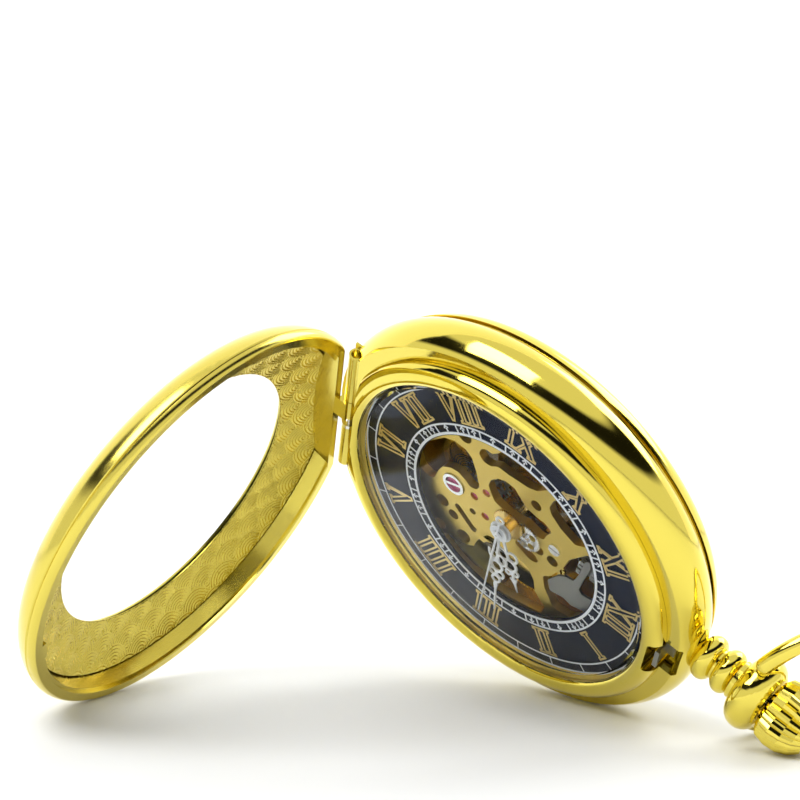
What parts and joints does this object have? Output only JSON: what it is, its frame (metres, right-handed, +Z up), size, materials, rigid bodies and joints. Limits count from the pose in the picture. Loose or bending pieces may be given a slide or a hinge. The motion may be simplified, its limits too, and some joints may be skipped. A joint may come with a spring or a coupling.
{
  "type": "hunter pocket watch",
  "caption": "Gold hunter-case pocket watch with a glazed lid open on its hinge, domed crystal over an open-heart dial, fluted winding crown and bow.",
  "frame": {"origin": "centre of the bounding box at floor level, the watch resting on its lid rim, case edge and crown", "axes": "+X runs level from the lid side to the crown side, +Z up from the floor, -Y towards the viewer of the dial"},
  "size_m": [0.0872, 0.0448, 0.0412],
  "materials": {
    "case_gold": "polished yellow gold plate",
    "crystal": "clear domed crystal",
    "dial_blue": "dark blue enamel with white tracks and gold numerals",
    "engine_turned_gold": "matt gold cut with fans of fine arcs",
    "hand_white": "white silver",
    "lid_gold": "polished gold plate",
    "plate_gold": "frosted gilt",
    "polished_steel": "polished steel",
    "ruby": "polished synthetic ruby",
    "spring_blue": "blued spring steel",
    "steel": "fine grey steel",
    "wheel_brass": "fine brushed brass"
  },
  "bodies": {
    "case": {"case_band": "case_gold", "front_bezel": "case_gold", "front_crystal": "crystal", "back_bezel": "case_gold", "back_crystal": "crystal", "movement_ring": "plate_gold", "dial_ring": "plate_gold", "pendant": "case_gold", "case_hinge": "lid_gold", "hinge_pin": "steel", "dial": "dial_blue", "main_plate": "plate_gold", "setting_cover": "steel", "barrel_bridge": "plate_gold", "train_bridge": "plate_gold", "balance_cock": "plate_gold", "pallet_cock": "plate_gold", "jewels": "ruby", "balance_setting": "polished_steel", "balance_jewel": "ruby", "bridge_screws": "polished_steel", "plate_screws": "polished_steel", "minute_stud": "polished_steel", "click_post": "polished_steel"},
    "lid": {"lid_shell": "lid_gold", "lid_ring": "engine_turned_gold", "lid_window": "crystal", "lid_window_bezel": "lid_gold", "lid_knuckle": "lid_gold"},
    "latch": {"lid_latch": "steel"},
    "bow": {"bow": "case_gold"},
    "crown_sleeve": {"crown_sleeve": "steel"},
    "crown": {"crown": "case_gold", "winding_stem": "steel"},
    "winding_pinion": {"winding_pinion": "steel"},
    "sliding_clutch": {"sliding_clutch": "steel"},
    "crown_wheel": {"crown_wheel": "steel"},
    "ratchet": {"ratchet_wheel": "steel", "barrel_arbor": "polished_steel"},
    "click": {"click": "steel"},
    "barrel": {"barrel_drum": "wheel_brass", "mainspring": "spring_blue"},
    "centre": {"centre_wheel": "wheel_brass", "centre_pinion": "polished_steel", "cannon_pinion": "polished_steel", "minute_hand": "hand_white"},
    "minute_works": {"minute_wheel": "steel"},
    "hour": {"hour_wheel": "wheel_brass", "hour_hand": "hand_white"},
    "third": {"third_wheel": "wheel_brass", "third_pinion": "polished_steel"},
    "fourth": {"fourth_wheel": "wheel_brass", "fourth_pinion": "polished_steel", "seconds_hand": "hand_white"},
    "escape": {"escape_wheel": "steel", "escape_pinion": "polished_steel"},
    "pallet": {"pallet_fork": "steel"},
    "balance": {"balance_wheel": "wheel_brass", "balance_staff": "polished_steel", "hairspring": "spring_blue"}
  },
  "joints": [
    {"name": "lid_hinge", "type": "hinge", "parent": "case", "child": "lid", "pos_m": [-0.0124, 0.00938, 0.03007], "axis": [0.0612, -0.728, 0.6828], "range_deg": [0, 90.87]},
    {"name": "latch_press", "type": "slide", "parent": "case", "child": "latch", "axis": [-0.7622, 0.4076, 0.5029], "range_m": [0, 0.0005], "stiffness_N_per_m": 200},
    {"name": "bow_swing", "type": "hinge", "parent": "case", "child": "bow", "pos_m": [0.02806, -0.01013, 0.00564], "axis": [0.0612, -0.728, 0.6828], "range_deg": [-55, 0]},
    {"name": "crown_pull", "type": "slide", "parent": "case", "child": "crown_sleeve", "axis": [0.7622, -0.4076, -0.5029], "range_m": [0, 0.0012]},
    {"name": "crown_turn", "type": "hinge", "parent": "crown_sleeve", "child": "crown", "pos_m": [0.02813, -0.01017, 0.00559], "axis": [0.7622, -0.4076, -0.5029], "continuous": true},
    {"name": "winding_pinion_spin", "type": "hinge", "parent": "case", "child": "winding_pinion", "pos_m": [0.01181, -0.00144, 0.01635], "axis": [0.7622, -0.4076, -0.5029], "continuous": true},
    {"name": "clutch_spin", "type": "hinge", "parent": "case", "child": "sliding_clutch", "pos_m": [0.01274, -0.00194, 0.01575], "axis": [0.7622, -0.4076, -0.5029], "continuous": true},
    {"name": "crown_wheel_spin", "type": "hinge", "parent": "case", "child": "crown_wheel", "pos_m": [0.01173, 0.00039, 0.01832], "axis": [-0.6444, -0.5512, -0.53], "continuous": true},
    {"name": "ratchet_spin", "type": "hinge", "parent": "case", "child": "ratchet", "pos_m": [0.00752, 0.00658, 0.017], "axis": [-0.6444, -0.5512, -0.53], "continuous": true},
    {"name": "click_lift", "type": "hinge", "parent": "case", "child": "click", "pos_m": [0.00939, 0.01029, 0.01295], "axis": [-0.6444, -0.5512, -0.53], "range_deg": [0, 8], "stiffness_Nm_per_rad": 0.0001},
    {"name": "barrel_spin", "type": "hinge", "parent": "case", "child": "barrel", "pos_m": [0.00636, 0.00559, 0.01605], "axis": [-0.6444, -0.5512, -0.53], "continuous": true},
    {"name": "centre_spin", "type": "hinge", "parent": "case", "child": "centre", "pos_m": [0.00527, 0.00206, 0.02067], "axis": [-0.6444, -0.5512, -0.53], "continuous": true},
    {"name": "minute_works_spin", "type": "hinge", "parent": "case", "child": "minute_works", "pos_m": [0.00597, 0.0006, 0.01851], "axis": [-0.6444, -0.5512, -0.53], "continuous": true},
    {"name": "hour_spin", "type": "hinge", "parent": "case", "child": "hour", "pos_m": [0.00398, 0.00096, 0.01961], "axis": [-0.6444, -0.5512, -0.53], "continuous": true},
    {"name": "third_spin", "type": "hinge", "parent": "case", "child": "third", "pos_m": [0.00336, 0.00564, 0.02116], "axis": [-0.6444, -0.5512, -0.53], "continuous": true},
    {"name": "fourth_spin", "type": "hinge", "parent": "case", "child": "fourth", "pos_m": [0.00623, 0.00289, 0.02147], "axis": [-0.6444, -0.5512, -0.53], "continuous": true},
    {"name": "escape_spin", "type": "hinge", "parent": "case", "child": "escape", "pos_m": [0.00328, 0.00302, 0.02398], "axis": [-0.6444, -0.5512, -0.53], "continuous": true},
    {"name": "pallet_rock", "type": "hinge", "parent": "case", "child": "pallet", "pos_m": [0.00182, 0.00469, 0.02307], "axis": [-0.6444, -0.5512, -0.53], "range_deg": [-5, 5]},
    {"name": "balance_swing", "type": "hinge", "parent": "case", "child": "balance", "pos_m": [0.00038, 0.00671, 0.02461], "axis": [-0.6444, -0.5512, -0.53], "range_deg": [-250, 250], "stiffness_Nm_per_rad": 0.000002}
  ],
  "couplings": [
    {"joint": "third_spin", "follows": "fourth_spin", "ratio": -0.13333},
    {"joint": "centre_spin", "follows": "fourth_spin", "ratio": 0.016667},
    {"joint": "barrel_spin", "follows": "fourth_spin", "ratio": -0.0023148},
    {"joint": "minute_works_spin", "follows": "fourth_spin", "ratio": -0.0055556},
    {"joint": "hour_spin", "follows": "fourth_spin", "ratio": 0.0013889},
    {"joint": "escape_spin", "follows": "fourth_spin", "ratio": -10},
    {"joint": "winding_pinion_spin", "follows": "crown_turn", "ratio": 1},
    {"joint": "clutch_spin", "follows": "crown_turn", "ratio": 1},
    {"joint": "crown_wheel_spin", "follows": "crown_turn", "ratio": 0.66667},
    {"joint": "ratchet_spin", "follows": "crown_turn", "ratio": -0.38889}
  ]
}
